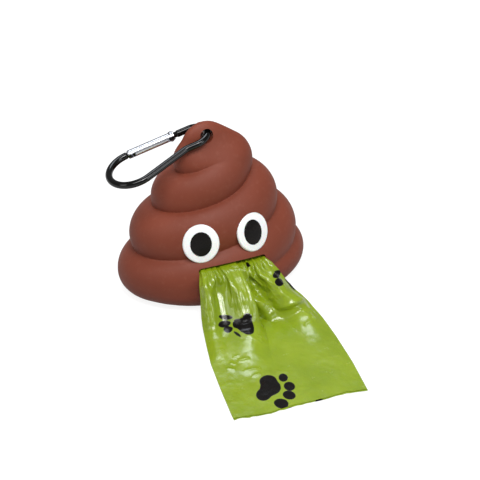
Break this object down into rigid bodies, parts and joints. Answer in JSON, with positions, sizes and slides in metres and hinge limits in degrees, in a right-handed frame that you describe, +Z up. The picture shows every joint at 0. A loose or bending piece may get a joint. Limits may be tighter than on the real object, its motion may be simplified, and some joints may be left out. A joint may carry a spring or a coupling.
{
  "type": "dog waste bag dispenser",
  "caption": "Soft swirl-shaped dispenser that feeds dog waste bags from a roll through a mouth slot and hangs from a small carabiner.",
  "frame": {"origin": "centre of the base, on the surface that it stands on", "axes": "+Z up, the face and mouth towards -Y, +X to the right of a viewer who faces the front"},
  "size_m": [0.0917, 0.1433, 0.081],
  "materials": {
    "soft_vinyl": "soft matt vinyl",
    "rigid_brown": "satin moulded plastic",
    "eye_white": "smooth",
    "eye_black": "smooth",
    "core_card": "black card",
    "green_film": "thin glossy film, slightly see-through",
    "black_wire": "black coated wire",
    "silver_gate": "polished",
    "steel": "bright"
  },
  "bodies": {
    "shell": {"body_shell": "soft_vinyl", "base_collar": "rigid_brown", "eye_white_left": "eye_white", "eye_white_right": "eye_white", "pupil_left": "eye_black", "pupil_right": "eye_black"},
    "plug": {"base_plug": "rigid_brown"},
    "roll": {"roll_core": "core_card", "bag_roll": "green_film"},
    "pulled_bag": {"bag": "green_film"},
    "carabiner": {"carabiner_wire": "black_wire", "gate_rivet": "steel"},
    "gate": {"gate_tube": "silver_gate", "gate_catch_pin": "steel", "gate_spring": "steel", "gate_plunger": "steel"}
  },
  "joints": [
    {"name": "bag_pull", "type": "slide", "parent": "shell", "child": "pulled_bag", "axis": [0, -1, 0], "range_m": [0, 0.03]},
    {"name": "roll_spin", "type": "hinge", "parent": "shell", "child": "roll", "pos_m": [0, 0, 0.0127], "axis": [1, 0, 0], "range_deg": [0, 200]},
    {"name": "plug_pull", "type": "slide", "parent": "shell", "child": "plug", "axis": [0, 0, -1], "range_m": [0, 0.03]},
    {"name": "carabiner_swing", "type": "hinge", "parent": "shell", "child": "carabiner", "pos_m": [-0.0015, 0, 0.0758], "axis": [0.1305, 0.9914, 0], "range_deg": [0, 165]},
    {"name": "gate_swing", "type": "hinge", "parent": "carabiner", "child": "gate", "pos_m": [-0.01412, 0.00852, 0.07189], "axis": [-0.2733, 0.036, 0.9613], "range_deg": [0, 25], "stiffness_Nm_per_rad": 0.02, "springref_deg": -11.46}
  ],
  "couplings": [
    {"joint": "roll_spin", "follows": "bag_pull", "rad_per_m": 111.11}
  ]
}
